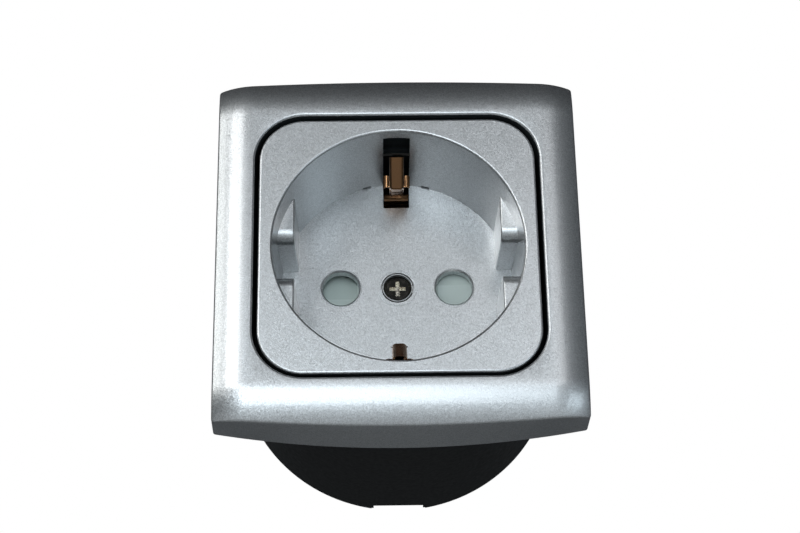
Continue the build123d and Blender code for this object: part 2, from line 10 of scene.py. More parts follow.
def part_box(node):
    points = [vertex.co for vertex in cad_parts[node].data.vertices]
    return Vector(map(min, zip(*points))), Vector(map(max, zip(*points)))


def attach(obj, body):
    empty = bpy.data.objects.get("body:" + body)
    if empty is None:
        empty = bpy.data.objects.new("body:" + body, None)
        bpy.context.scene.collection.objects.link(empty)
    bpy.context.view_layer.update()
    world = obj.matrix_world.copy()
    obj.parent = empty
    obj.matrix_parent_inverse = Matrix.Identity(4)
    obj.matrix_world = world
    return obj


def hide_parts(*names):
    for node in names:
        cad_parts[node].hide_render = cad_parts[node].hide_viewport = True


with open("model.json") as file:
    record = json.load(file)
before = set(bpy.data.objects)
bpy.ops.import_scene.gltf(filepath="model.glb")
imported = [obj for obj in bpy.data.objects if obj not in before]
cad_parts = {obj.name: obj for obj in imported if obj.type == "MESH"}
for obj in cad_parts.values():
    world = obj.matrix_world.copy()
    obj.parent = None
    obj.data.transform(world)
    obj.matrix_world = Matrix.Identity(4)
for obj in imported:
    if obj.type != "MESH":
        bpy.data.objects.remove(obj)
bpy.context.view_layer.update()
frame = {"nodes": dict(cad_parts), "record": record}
mm = 0.001
print("frame loaded:", len(frame["nodes"]), "nodes")


# Camera, lamps, world and floor

view = {
    "focal": 88.67,  # mm, on a 36 mm sensor
    "azimuth": -0.97,  # degrees: in front, a little to the left
    "elevation": -25.95,  # and well below the socket's axis
    "roll": -0.99,
    "distance": 315.1 * mm,
    "target": Vector((0, -11.5 * mm, 0)),  # the middle of the plate's front
    "shift": (0.0018, -0.0305),
}


def addCamera(settings):
    azimuth = math.radians(settings["azimuth"])
    elevation = math.radians(settings["elevation"])
    roll = math.radians(settings["roll"])
    level = math.cos(elevation)
    back = Vector((math.sin(azimuth) * level, -math.cos(azimuth) * level, math.sin(elevation)))
    right = (-back).cross(Vector((0, 0, 1))).normalized()
    up = right.cross(-back)
    across = right * math.cos(roll) + up * math.sin(roll)
    upward = up * math.cos(roll) - right * math.sin(roll)
    data = bpy.data.cameras.new("camera")
    data.lens = settings["focal"]
    data.sensor_width = 36
    data.clip_start = 0.01
    data.shift_x, data.shift_y = settings["shift"]
    camera = bpy.data.objects.new("camera", data)
    bpy.context.collection.objects.link(camera)
    turn = Matrix((across, upward, back)).transposed().to_4x4()
    camera.matrix_world = Matrix.Translation(settings["target"] + back * settings["distance"]) @ turn
    bpy.context.scene.camera = camera


# each lamp's direction in degrees, its size in metres, and how bright its face looks
lamps = {
    "key": {"azimuth": -6, "elevation": -2, "width": 0.46, "height": 0.66, "strength": 4.3,
            "colour": (0.85, 0.94, 1.0)},
    "middle": {"azimuth": -27, "elevation": 21, "width": 0.40, "height": 0.46, "strength": 4.7,
               "colour": (0.99, 1.0, 1.0)},
    "left": {"azimuth": -58, "elevation": 21, "width": 0.48, "height": 0.50, "strength": 3.0,
             "colour": (0.98, 1.0, 0.98)},
    "right": {"azimuth": 14, "elevation": 20, "width": 0.34, "height": 0.40, "strength": 1.9,
              "colour": (0.97, 0.98, 1.0)},
    "side": {"azimuth": 64, "elevation": -34, "width": 0.40, "height": 0.40, "strength": 2.2,
             "colour": (0.85, 0.95, 1.0)},
    "wall": {"azimuth": 38, "elevation": -12, "width": 0.5, "height": 0.5, "strength": 2.0,
             "colour": (0.80, 0.92, 1.0)},
    "low": {"azimuth": 3, "elevation": -45, "width": 0.8, "height": 0.46, "strength": 4.0,
            "colour": (0.55, 0.80, 1.0)},
}
lampDistance = 1.2  # metres from the plate


def addLamp(name, settings):
    data = bpy.data.lights.new(name, "AREA")
    data.shape = "RECTANGLE"
    data.size = settings["width"]
    data.size_y = settings["height"]
    data.color = settings["colour"]
    data.energy = math.pi * settings["width"] * settings["height"] * settings["strength"]
    azimuth, elevation = math.radians(settings["azimuth"]), math.radians(settings["elevation"])
    level = math.cos(elevation)
    towards = Vector((math.sin(azimuth) * level, -math.cos(azimuth) * level, math.sin(elevation)))
    lamp = bpy.data.objects.new(name, data)
    bpy.context.collection.objects.link(lamp)
    lamp.location = towards * lampDistance
    lamp.rotation_euler = towards.to_track_quat("Z", "Y").to_euler()


studio = {
    "ambient": (0.05, 0.055, 0.06),
    # what gloss sees of the room, as (share of the way from straight down to straight up, colour)
    "dome": ((0.0, (0.05, 0.05, 0.055)), (0.45, (0.07, 0.075, 0.08)), (0.55, (0.07, 0.075, 0.08)),
             (1.0, (0.02, 0.02, 0.022))),
}


def addWorld(settings):
    world = bpy.data.worlds.new("studio")
    bpy.context.scene.world = world
    world.use_nodes = True
    nodes, links = world.node_tree.nodes, world.node_tree.links
    nodes.clear()
    place = nodes.new("ShaderNodeTexCoord")
    split = nodes.new("ShaderNodeSeparateXYZ")
    height = nodes.new("ShaderNodeMapRange")
    height.inputs["From Min"].default_value = -1
    dome = nodes.new("ShaderNodeValToRGB")
    ramp = dome.color_ramp
    while len(ramp.elements) < len(settings["dome"]):
        ramp.elements.new(0.5)
    for element, (position, colour) in zip(ramp.elements, settings["dome"]):
        element.position = position
        element.color = (*colour, 1)
    rays = nodes.new("ShaderNodeLightPath")
    seen = nodes.new("ShaderNodeMath")
    seen.operation = "MAXIMUM"
    forGloss = nodes.new("ShaderNodeMix")
    forGloss.data_type = "RGBA"
    forGloss.inputs["A"].default_value = (*settings["ambient"], 1)
    forCamera = nodes.new("ShaderNodeMix")
    forCamera.data_type = "RGBA"
    forCamera.inputs["B"].default_value = (1, 1, 1, 1)
    background = nodes.new("ShaderNodeBackground")
    output = nodes.new("ShaderNodeOutputWorld")
    for start, end in ((place.outputs["Generated"], split.inputs["Vector"]),
                       (split.outputs["Z"], height.inputs["Value"]),
                       (height.outputs["Result"], dome.inputs["Fac"]),
                       (rays.outputs["Is Camera Ray"], seen.inputs[0]),
                       (rays.outputs["Is Transmission Ray"], seen.inputs[1]),
                       (rays.outputs["Is Glossy Ray"], forGloss.inputs["Factor"]),
                       (dome.outputs["Color"], forGloss.inputs["B"]),
                       (seen.outputs["Value"], forCamera.inputs["Factor"]),
                       (forGloss.outputs["Result"], forCamera.inputs["A"]),
                       (forCamera.outputs["Result"], background.inputs["Color"]),
                       (background.outputs["Background"], output.inputs["Surface"])):
        links.new(start, end)


floorSize = {"half": 3.0, "level": -0.45}


def addFloor(settings):
    half, level = settings["half"], settings["level"]
    corners = [(-half, -half, level), (half, -half, level), (half, half, level), (-half, half, level)]
    mesh = bpy.data.meshes.new("floor")
    mesh.from_pydata(corners, [], [(0, 1, 2, 3)])
    floor = bpy.data.objects.new("floor", mesh)
    bpy.context.collection.objects.link(floor)
    material = bpy.data.materials.new("paleFloor")
    material.use_nodes = True
    shader = material.node_tree.nodes["Principled BSDF"]
    shader.inputs["Base Color"].default_value = (0.86, 0.86, 0.86, 1)
    shader.inputs["Roughness"].default_value = 0.9
    mesh.materials.append(material)


addCamera(view)
for lampName, lampSettings in lamps.items():
    addLamp(lampName, lampSettings)
addWorld(studio)
addFloor(floorSize)
bpy.context.scene.view_settings.view_transform = "Standard"
print("camera, lamps and floor ready")


# Shader groups that several finishes share, and the steps that all trees are built from

def makeGroup(name, inputs, outputs, form="ShaderNodeTree"):
    tree = bpy.data.node_groups.new(name, form)
    for label, kind, value in inputs:
        socket = tree.interface.new_socket(label, in_out="INPUT", socket_type="NodeSocket" + kind)
        if value is not None:
            socket.default_value = value
    for label, kind in outputs:
        tree.interface.new_socket(label, in_out="OUTPUT", socket_type="NodeSocket" + kind)
    return tree, tree.nodes.new("NodeGroupInput"), tree.nodes.new("NodeGroupOutput")


def vectorStep(tree, operation, first, second=None):
    node = tree.nodes.new("ShaderNodeVectorMath")
    node.operation = operation
    for index, value in enumerate((first, second)):
        if isinstance(value, bpy.types.NodeSocket):
            tree.links.new(value, node.inputs[index])
        elif value is not None:
            node.inputs[index].default_value = value
    return node


def numberStep(tree, operation, first, second=0.0):
    node = tree.nodes.new("ShaderNodeMath")
    node.operation = operation
    for index, value in enumerate((first, second)):
        if isinstance(value, bpy.types.NodeSocket):
            tree.links.new(value, node.inputs[index])
        else:
            node.inputs[index].default_value = value
    return node.outputs[0]


def makeFlakes():
    tree, given, result = makeGroup("metallicFlakes", [
        ("Base", "Color", (0.5, 0.5, 0.5, 1)), ("Flakes per metre", "Float", 4000.0),
        ("Contrast", "Float", 0.3), ("Tilt", "Float", 0.1)], [("Color", "Color"), ("Normal", "Vector")])
    coords = tree.nodes.new("ShaderNodeTexCoord")
    cells = tree.nodes.new("ShaderNodeTexVoronoi")
    tree.links.new(coords.outputs["Object"], cells.inputs["Vector"])
    tree.links.new(given.outputs["Flakes per metre"], cells.inputs["Scale"])
    centred = vectorStep(tree, "SUBTRACT", cells.outputs["Color"], (0.5, 0.5, 0.5))
    split = tree.nodes.new("ShaderNodeSeparateXYZ")
    tree.links.new(centred.outputs["Vector"], split.inputs["Vector"])
    swing = numberStep(tree, "MULTIPLY", split.outputs["X"], given.outputs["Contrast"])
    share = numberStep(tree, "ADD", swing, 1.0)
    tinted = vectorStep(tree, "SCALE", given.outputs["Base"])
    tree.links.new(share, tinted.inputs["Scale"])
    tree.links.new(tinted.outputs["Vector"], result.inputs["Color"])
    lean = vectorStep(tree, "SCALE", centred.outputs["Vector"])
    tree.links.new(given.outputs["Tilt"], lean.inputs["Scale"])
    surface = tree.nodes.new("ShaderNodeNewGeometry")
    leaning = vectorStep(tree, "ADD", surface.outputs["Normal"], lean.outputs["Vector"])
    normal = vectorStep(tree, "NORMALIZE", leaning.outputs["Vector"])
    tree.links.new(normal.outputs["Vector"], result.inputs["Normal"])
    return tree


def makeGrain():
    tree, given, result = makeGroup("surfaceGrain", [
        ("Scale", "Vector", (900.0, 900.0, 900.0)), ("Depth", "Float", 0.1), ("Low", "Float", 0.3),
        ("High", "Float", 0.5)], [("Value", "Float"), ("Normal", "Vector")])
    coords = tree.nodes.new("ShaderNodeTexCoord")
    stretched = vectorStep(tree, "MULTIPLY", coords.outputs["Object"], given.outputs["Scale"])
    noise = tree.nodes.new("ShaderNodeTexNoise")
    noise.inputs["Scale"].default_value = 1.0
    noise.inputs["Detail"].default_value = 3.0
    tree.links.new(stretched.outputs["Vector"], noise.inputs["Vector"])
    spread = tree.nodes.new("ShaderNodeMapRange")
    tree.links.new(noise.outputs["Fac"], spread.inputs["Value"])
    spread.inputs["From Min"].default_value = 0.3
    spread.inputs["From Max"].default_value = 0.7
    tree.links.new(given.outputs["Low"], spread.inputs["To Min"])
    tree.links.new(given.outputs["High"], spread.inputs["To Max"])
    tree.links.new(spread.outputs["Result"], result.inputs["Value"])
    bump = tree.nodes.new("ShaderNodeBump")
    bump.inputs["Distance"].default_value = 0.00002
    tree.links.new(given.outputs["Depth"], bump.inputs["Strength"])
    tree.links.new(noise.outputs["Fac"], bump.inputs["Height"])
    tree.links.new(bump.outputs["Normal"], result.inputs["Normal"])
    return tree


flakes = makeFlakes()
grain = makeGrain()


# Finishes

def newFinish(name, group, values):
    material = bpy.data.materials.new(name)
    material.use_nodes = True
    tree = material.node_tree
    node = tree.nodes.new("ShaderNodeGroup")
    node.node_tree = group
    for label, value in values.items():
        node.inputs[label].default_value = value
    shader = tree.nodes["Principled BSDF"]
    tree.links.new(node.outputs["Normal"], shader.inputs["Normal"])
    return material, tree, shader, node


lacquer = {
    "base": (0.53, 0.545, 0.555, 1),
    "metal": 0.93,
    "roughness": 0.37,
    "flakesPerMetre": 7500.0,
    "contrast": 0.40,
    "tilt": 0.11,
    "coat": 1.0,
    "coatRoughness": 0.14,
    "coatIndex": 1.55,
}


def silverLacquer(settings):
    material, tree, shader, node = newFinish("silverLacquer", flakes, {
        "Base": settings["base"], "Flakes per metre": settings["flakesPerMetre"],
        "Contrast": settings["contrast"], "Tilt": settings["tilt"]})
    tree.links.new(node.outputs["Color"], shader.inputs["Base Color"])
    shader.inputs["Metallic"].default_value = settings["metal"]
    shader.inputs["Roughness"].default_value = settings["roughness"]
    shader.inputs["Coat Weight"].default_value = settings["coat"]
    shader.inputs["Coat Roughness"].default_value = settings["coatRoughness"]
    shader.inputs["Coat IOR"].default_value = settings["coatIndex"]
    return material


plastics = {
    "blackMoulding": {"base": (0.0055, 0.006, 0.006, 1), "roughness": (0.34, 0.46), "gloss": 0.16,
                      "scale": 1400.0, "depth": 0.25},
    # near black: the bare moulding also paints the shade in the hollows behind the plate and frame
    "bareMouldingPaintedShade": {"base": (0.020, 0.024, 0.026, 1), "roughness": (0.7, 0.85), "gloss": 0.1,
                     "scale": 1400.0, "depth": 0.2},
    "shutterPlastic": {"base": (0.47, 0.55, 0.52, 1), "roughness": (0.30, 0.42), "gloss": 0.5,
                       "scale": 900.0, "depth": 0.1},
}

metals = {
    "zincSteel": {"base": (0.60, 0.60, 0.58, 1), "roughness": (0.28, 0.42), "scale": (500.0, 500.0, 500.0)},
    "nickelScrew": {"base": (0.20, 0.19, 0.17, 1), "roughness": (0.05, 0.16),
                    "scale": (900.0, 900.0, 900.0)},
    # bright metal that paints glints in the centre screw's cross
    "glintPaintedNickel": {"base": (0.66, 0.62, 0.54, 1), "roughness": (0.12, 0.34),
                   "scale": (2500.0, 2500.0, 2500.0)},
    "springSteel": {"base": (0.50, 0.50, 0.50, 1), "roughness": (0.20, 0.35),
                    "scale": (900.0, 900.0, 900.0)},
    "contactBrass": {"base": (0.78, 0.58, 0.28, 1), "roughness": (0.22, 0.38),
                     "scale": (700.0, 120.0, 700.0)},
    "earthBronze": {"base": (0.27, 0.145, 0.072, 1), "roughness": (0.14, 0.28),
                    "scale": (1500.0, 160.0, 300.0)},
}


def plastic(name, settings):
    low, high = settings["roughness"]
    scale = settings["scale"]
    material, tree, shader, node = newFinish(name, grain, {
        "Scale": (scale, scale, scale), "Depth": settings["depth"], "Low": low, "High": high})
    shader.inputs["Base Color"].default_value = settings["base"]
    shader.inputs["Specular IOR Level"].default_value = settings["gloss"]
    tree.links.new(node.outputs["Value"], shader.inputs["Roughness"])
    return material


def metal(name, settings):
    low, high = settings["roughness"]
    material, tree, shader, node = newFinish(name, grain, {
        "Scale": settings["scale"], "Depth": 0.05, "Low": low, "High": high})
    shader.inputs["Base Color"].default_value = settings["base"]
    shader.inputs["Metallic"].default_value = 1.0
    tree.links.new(node.outputs["Value"], shader.inputs["Roughness"])
    return material


finishes = {"silverLacquer": silverLacquer(lacquer)}
for finishName, finishSettings in plastics.items():
    finishes[finishName] = plastic(finishName, finishSettings)
for finishName, finishSettings in metals.items():
    finishes[finishName] = metal(finishName, finishSettings)
finishOfSlot = {
    "silver_lacquer": "silverLacquer", "black_moulding": "blackMoulding", "shutter_plastic": "shutterPlastic",
    "zinc_steel": "zincSteel", "nickel_screw": "nickelScrew", "spring_steel": "springSteel",
    "contact_brass": "contactBrass", "earth_bronze": "earthBronze",
}
slotOfNode = {entry["node"]: entry["material_slot"] for entry in frame["record"]["subparts"]}
bodies = frame["record"]["behaviour"]["bodies"]
bodyOfNode = {node: body for body, members in bodies.items() for node in members}
print("finishes ready:", len(finishes))


# Pieces whose solids have the right form: each node gets its finish, and those that show are smoothed

shading = {"sharpAngle": 32.0, "mergeDistance": 0.0005 * mm, "flatNormal": 0.99999}


def shadeSoftly(mesh):
    mesh.shade_smooth()
    mesh.set_sharp_from_angle(angle=math.radians(shading["sharpAngle"]))


def smoothCopy(node, name):
    source = frame["nodes"][node]
    mesh = source.data.copy()
    mesh.name = name
    if mesh.has_custom_normals:
        mesh.attributes.remove(mesh.attributes["custom_normal"])
    work = bmesh.new()
    work.from_mesh(mesh)
    bmesh.ops.remove_doubles(work, verts=work.verts, dist=shading["mergeDistance"])
    bmesh.ops.dissolve_degenerate(work, dist=shading["mergeDistance"], edges=work.edges)
    work.to_mesh(mesh)
    work.free()
    mesh.materials.clear()
    shadeSoftly(mesh)
    for face in mesh.polygons:
        if abs(face.normal.y) > shading["flatNormal"]:
            face.use_smooth = False
    piece = bpy.data.objects.new(name, mesh)
    bpy.context.collection.objects.link(piece)
    # flat faces keep their own normals, and the rounds between them carry the change
    weighted = piece.modifiers.new("weighted", "WEIGHTED_NORMAL")
    weighted.keep_sharp = True
    weighted.weight = 100
    return bakeModifiers(piece)


def bakeModifiers(piece):
    plain = bpy.data.meshes.new_from_object(piece.evaluated_get(bpy.context.evaluated_depsgraph_get()))
    piece.modifiers.clear()
    piece.data = plain
    return piece


def refinish(piece, finish, belongs):
    # a second finish on the faces that the rule picks
    piece.data.materials.append(finishes[finish])
    for face in piece.data.polygons:
        if belongs(face):
            face.material_index = 1


def settle(piece, node):
    slotName = slotOfNode[node]
    piece.data.materials.clear()
    piece.data.materials.append(finishes[finishOfSlot[slotName]])
    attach(piece, bodyOfNode[node])
    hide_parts(node)


for nodeName, nodeObject in frame["nodes"].items():
    nodeObject.data.materials.clear()
    nodeObject.data.materials.append(finishes[finishOfSlot[slotOfNode[nodeName]]])

# Cover frame: one closed profile at every station round the opening, from the flanks' formula

frameSizes = {
    "openingHalf": 23.2, "openingCorner": 8.15, "rimRound": 0.4,
    "flatHalf": 24.0, "flatCorner": 0.4, "flankRadius": 11.5, "front": -11.95,
    "halfWidth": (29.36, 29.8), "halfHeight": (29.4, 28.0), "bow": (1.2, 2.65), "levels": (-9.7, 0.0),
    "cornerRound": 0.5, "edgeRound": 0.5, "wall": 1.2, "sleeveWall": 1.3,
    "ledge": (-2.7, -1.2), "ledgeRadius": 21.8,
    "sideStations": 96, "cornerStations": 10, "flankRows": 24, "roundRows": 7, "rounds": 10,
}


def frameOutline(sizes, level, inset):
    # the rectangle with bowed top and bottom edges, at one level or at a level for each station
    share = (level - sizes["levels"][0]) / (sizes["levels"][1] - sizes["levels"][0])
    width, height, bow = (sizes[key][0] + (sizes[key][1] - sizes[key][0]) * share
                          for key in ("halfWidth", "halfHeight", "bow"))
    width, height = width - inset, height - inset
    corner = max(sizes["cornerRound"] - inset, sizes["cornerRound"] / 4)
    bend = (width ** 2 + bow ** 2) / (2 * bow)
    middle = height + bow - bend
    cornerX = width - corner
    cornerZ = middle + np.sqrt((bend - corner) ** 2 - cornerX ** 2)
    turn = np.arctan2(cornerZ - middle, cornerX)
    along = np.linspace(0, 1, sizes["sideStations"], endpoint=False)
    rounds = np.linspace(0, 1, sizes["cornerStations"], endpoint=False)
    total = 4 * (len(along) + len(rounds))
    values = [np.broadcast_to(value, total) for value in (width, cornerX, cornerZ, turn, bend, middle)]
    points, start = [], 0
    for side in range(4):
        flip = 1 if side < 2 else -1
        for kind, steps in (("edge", along), ("corner", rounds)):
            wide, nearX, nearZ, angle, reach, centre = (value[start:start + len(steps)] for value in values)
            if kind == "edge" and side % 2 == 0:
                spot = (wide, nearZ * (2 * steps - 1))
            elif kind == "edge":
                swing = angle + (math.pi - 2 * angle) * steps
                spot = (reach * np.cos(swing), centre + reach * np.sin(swing))
            elif side % 2 == 0:
                swing = angle * steps
                spot = (nearX + corner * np.cos(swing), nearZ + corner * np.sin(swing))
            else:
                swing = math.pi - angle + angle * steps
                spot = (-nearX + corner * np.cos(swing), nearZ + corner * np.sin(swing))
            points.append(flip * np.stack(spot, 1))
            start += len(steps)
    return np.concatenate(points)


def nearestOnSquare(points, half, corner):
    # the nearest points of a rounded square, the way out from it, and how far out the points lie
    core = np.clip(points, corner - half, half - corner)
    away = points - core
    length = np.linalg.norm(away, axis=1, keepdims=True)
    outward = away / np.maximum(length, 1e-9)
    return core + outward * corner, outward, (length - corner)[:, 0]


def flankLevel(sizes, distance, inset):
    radius = sizes["flankRadius"] - inset
    return sizes["front"] + inset + radius - np.sqrt(radius ** 2 - np.maximum(distance, 0) ** 2)


def placed(flat, level):
    return np.stack((flat[:, 0], np.broadcast_to(level, len(flat)), flat[:, 1]), 1)


def flankRows(sizes):
    # from the side wall's rear edge, over the rounded edge and the flank, to the flat rim
    radius, bend, front = sizes["flankRadius"], sizes["edgeRound"], sizes["front"]
    # the level where the flank meets the leaning wall, closer with each round
    level = sizes["levels"][0]
    for attempt in range(sizes["rounds"]):
        outline = frameOutline(sizes, level, 0)
        foot, outward, distance = nearestOnSquare(outline, sizes["flatHalf"], sizes["flatCorner"])
        level = flankLevel(sizes, distance, 0)
    rear = nearestOnSquare(frameOutline(sizes, 0.0, 0), sizes["flatHalf"], sizes["flatCorner"])[2]
    slope = (rear - distance) / -level
    lean = np.sqrt(1 + slope ** 2)
    # the middle of the round edge, which touches both
    centre = level + bend
    for attempt in range(sizes["rounds"]):
        across = distance + slope * (centre - level) - bend * lean
        centre = front + radius - np.sqrt((radius - bend) ** 2 - across ** 2)
    first = np.arctan2(centre - front - radius, across)
    last = -np.arctan(slope)
    rows = []
    wallTop = centre + bend * np.sin(last)
    for share in np.linspace(0, 1, sizes["roundRows"]):
        height = wallTop * share
        rows.append(placed(frameOutline(sizes, height, 0), height))
    for share in np.linspace(0, 1, sizes["roundRows"])[1:]:
        angle = last + (first - last) * share
        out = across + bend * np.cos(angle)
        rows.append(placed(foot + outward * out[:, None], centre + bend * np.sin(angle)))
    edge = np.arcsin(across / (radius - bend))
    for share in np.linspace(1, 0, sizes["flankRows"])[1:]:
        out = radius * np.sin(edge * share)
        rows.append(placed(foot + outward * out[:, None], flankLevel(sizes, out, 0)))
    return rows, foot


def frameRows(sizes):
    rows, foot = flankRows(sizes)
    opening, outward, _ = nearestOnSquare(foot, sizes["openingHalf"], sizes["openingCorner"])
    rim = sizes["rimRound"]
    for angle in np.linspace(0, math.pi / 2, sizes["roundRows"]):
        lip = opening + outward * rim * (1 - math.sin(angle))
        rows.append(placed(lip, sizes["front"] + rim * (1 - math.cos(angle))))
    outside = len(rows) - 1
    hole = opening / np.linalg.norm(opening, axis=1, keepdims=True) * sizes["ledgeRadius"]
    sleeve = opening + outward * sizes["sleeveWall"]
    ledgeFront, ledgeRear = sizes["ledge"]
    rows += [placed(opening, ledgeFront), placed(hole, ledgeFront)]
    rows += [placed(hole, ledgeRear), placed(sleeve, ledgeRear)]
    wall = sizes["wall"]
    level = sizes["front"] + 2 * wall
    for attempt in range(sizes["rounds"]):
        inner = frameOutline(sizes, level, wall)
        level = flankLevel(sizes, nearestOnSquare(inner, sizes["flatHalf"], sizes["flatCorner"])[2], wall)
    for share in np.linspace(0, 1, sizes["roundRows"]):
        flat = sleeve + (inner - sleeve) * share
        out = nearestOnSquare(flat, sizes["flatHalf"], sizes["flatCorner"])[2]
        rows.append(placed(flat, flankLevel(sizes, out, wall)))
    rows.append(placed(frameOutline(sizes, 0.0, wall), 0.0))
    return rows, outside


def ringMesh(name, rows):
    # rows of points that close round the piece, the last row joined to the first
    count, around = len(rows), len(rows[0])
    verts = np.concatenate(rows) * mm
    faces = []
    for row in range(count):
        here, beyond = row * around, (row + 1) % count * around
        for spot in range(around):
            other = (spot + 1) % around
            faces.append((here + spot, here + other, beyond + other, beyond + spot))
    return newPiece(name, verts, faces)


def newPiece(name, verts, faces):
    mesh = bpy.data.meshes.new(name)
    mesh.from_pydata([tuple(vert) for vert in verts], [], faces)
    work = bmesh.new()
    work.from_mesh(mesh)
    if work.calc_volume(signed=True) < 0:
        bmesh.ops.reverse_faces(work, faces=work.faces)
    work.to_mesh(mesh)
    work.free()
    shadeSoftly(mesh)
    piece = bpy.data.objects.new(name, mesh)
    bpy.context.collection.objects.link(piece)
    return piece


def insideFrame(face):
    row = face.index // len(shellRows[0])
    return outsideRows <= row < len(shellRows) - 1


shellRows, outsideRows = frameRows(frameSizes)
shell = ringMesh("coverFrameShell", shellRows)
settle(shell, "cover_frame")
# the lacquer ends inside the opening, and the rear is bare moulding, near black so that it paints the shade
# in the hollows
refinish(shell, "bareMouldingPaintedShade", insideFrame)
print("cover frame shaped")

smoothed = {
    "centre_plate": "centrePlateMoulding",
    "centre_screw": "centreScrew",
    "shutter": "shutterBlade",
}
# the plate's inside lies behind its front, outside its cup and within its skirt
plateInside = {"front": -10.5, "cup": 20.3, "skirt": 22.65}
# the screw's cross gets a bright, glossier metal, painted glints on its walls
crossSize = {"front": 6.56, "rear": 8.3, "reach": 1.45}


def insidePlate(face):
    x, y, z = face.center / mm
    within = max(abs(x), abs(z)) < plateInside["skirt"]
    return y > plateInside["front"] and math.hypot(x, z) > plateInside["cup"] and within


def inCross(face):
    x, y, z = face.center / mm
    return crossSize["front"] < y < crossSize["rear"] and math.hypot(x, z) < crossSize["reach"]


for nodeName, pieceName in smoothed.items():
    settle(smoothCopy(nodeName, pieceName), nodeName)
# the plate's inside gets the near-black moulding, painted shade in the hollows behind it
refinish(bpy.data.objects["centrePlateMoulding"], "bareMouldingPaintedShade", insidePlate)
# the cross gets the bright metal of its painted glints
refinish(bpy.data.objects["centreScrew"], "glintPaintedNickel", inCross)
print("pieces dressed")

# Earth strap: the solid's own form up to the uprights, then curled clips that face the plug

clipSizes = {
    "path": ((2.5, 15.43), (-3.0, 13.9), (-6.95, 17.85)), "bend": 0.45, "sheet": 0.2,
    "channel": {"flat": 0.6, "curl": 0.6, "skirt": 1.6, "range": (2.5, -0.45), "corner": 0.1},
    "ear": {"x": 1.80, "y": -0.6, "radius": 0.66, "swing": 55.0, "turn": 14.0, "z": (15.6, 17.6),
            "lean": 0.19},
    "tongue": {"flat": 0.55, "curl": 0.65, "skirt": 0.0, "range": (-1.0, -6.95), "corner": 0.35},
    "rows": 40, "columns": 31,
}


def bentPath(points, bend, count):
    # a line with one rounded bend: its points, and the way its inner side faces
    start, corner, end = (np.array(point) for point in points)
    first = (corner - start) / np.linalg.norm(corner - start)
    second = (end - corner) / np.linalg.norm(end - corner)
    turn = math.acos(first @ second)
    inward = (second - first * math.cos(turn)) / math.sin(turn)
    begin = corner - first * bend * math.tan(turn / 2)
    finish = corner + second * bend * math.tan(turn / 2)
    middle = begin + inward * bend
    arc = [middle - inward * bend * math.cos(step) + first * bend * math.sin(step)
           for step in np.linspace(0, turn, count)]
    ahead = np.linspace(start, begin, count)[:-1]
    after = np.linspace(finish, end, count)[1:]
    path = np.concatenate((ahead, arc, after))
    along = np.gradient(path, axis=0)
    along /= np.linalg.norm(along, axis=1, keepdims=True)
    return path, np.stack((-along[:, 1], along[:, 0]), 1)


def curledStrip(sizes, part):
    # a strip along the path whose two edges curl away from the plug
    path, facing = bentPath(sizes["path"], sizes["bend"], sizes["rows"])
    begin, end = part["range"]
    keep = (path[:, 0] <= begin) & (path[:, 0] >= end)
    path, facing = path[keep], facing[keep]
    toEnd = np.linalg.norm(path - path[-1], axis=1)
    inside = np.clip(1 - toEnd / part["corner"], 0, 1)
    less = part["corner"] * (1 - np.sqrt(1 - inside ** 2))
    reach = part["flat"] + part["curl"] * math.pi / 2 + part["skirt"]
    spot = np.linspace(-1, 1, sizes["columns"])[None, :] * (reach - less)[:, None]
    turn = np.clip((np.abs(spot) - part["flat"]) / part["curl"], 0, math.pi / 2)
    skirt = np.clip(np.abs(spot) - part["flat"] - part["curl"] * math.pi / 2, 0, None)
    x = np.sign(spot) * (np.minimum(np.abs(spot), part["flat"]) + part["curl"] * np.sin(turn))
    drop = -part["curl"] * (1 - np.cos(turn)) - skirt
    y = path[:, 0:1] + facing[:, 0:1] * drop
    z = path[:, 1:2] + facing[:, 1:2] * drop
    return np.stack((x, y, z), 2)


def clipEar(sizes, side):
    # the channel's front edge, rolled outward
    ear = sizes["ear"]
    spread = np.linspace(-ear["swing"], ear["swing"], sizes["columns"])
    swing = np.radians(side * ear["turn"] + spread)[None, :]
    height = np.linspace(*ear["z"], sizes["rows"])[:, None]
    middle = side * (ear["x"] - ear["radius"] * math.sin(math.radians(ear["turn"])))
    x = middle + ear["radius"] * np.sin(swing)
    y = ear["y"] + ear["radius"] * (1 - np.cos(swing)) - ear["lean"] * (height - ear["z"][0])
    return np.stack((x + 0 * height, y, height + 0 * swing), 2)


def thickSheet(name, grid, thickness):
    # a grid of points as a closed sheet
    across = np.gradient(grid, axis=1)
    along = np.gradient(grid, axis=0)
    normal = np.cross(along, across)
    normal /= np.maximum(np.linalg.norm(normal, axis=2, keepdims=True), 1e-9)
    middle = grid[len(grid) // 2, grid.shape[1] // 2, 2]
    if normal[len(grid) // 2, grid.shape[1] // 2, 2] * middle < 0:
        normal = -normal
    rows, columns = grid.shape[:2]
    verts = np.concatenate((grid.reshape(-1, 3), (grid + normal * thickness).reshape(-1, 3))) * mm
    total = rows * columns
    faces = []
    for row in range(rows - 1):
        for column in range(columns - 1):
            spot = row * columns + column
            face = (spot, spot + 1, spot + columns + 1, spot + columns)
            faces.append(face)
            faces.append(tuple(total + corner for corner in reversed(face)))
    edge = [column for column in range(columns)] + [row * columns + columns - 1 for row in range(1, rows)]
    edge += [total - 1 - column for column in range(1, columns)]
    edge += [row * columns for row in range(rows - 2, 0, -1)]
    for spot, following in zip(edge, edge[1:] + edge[:1]):
        faces.append((following, spot, total + spot, total + following))
    return newPiece(name, verts, faces)


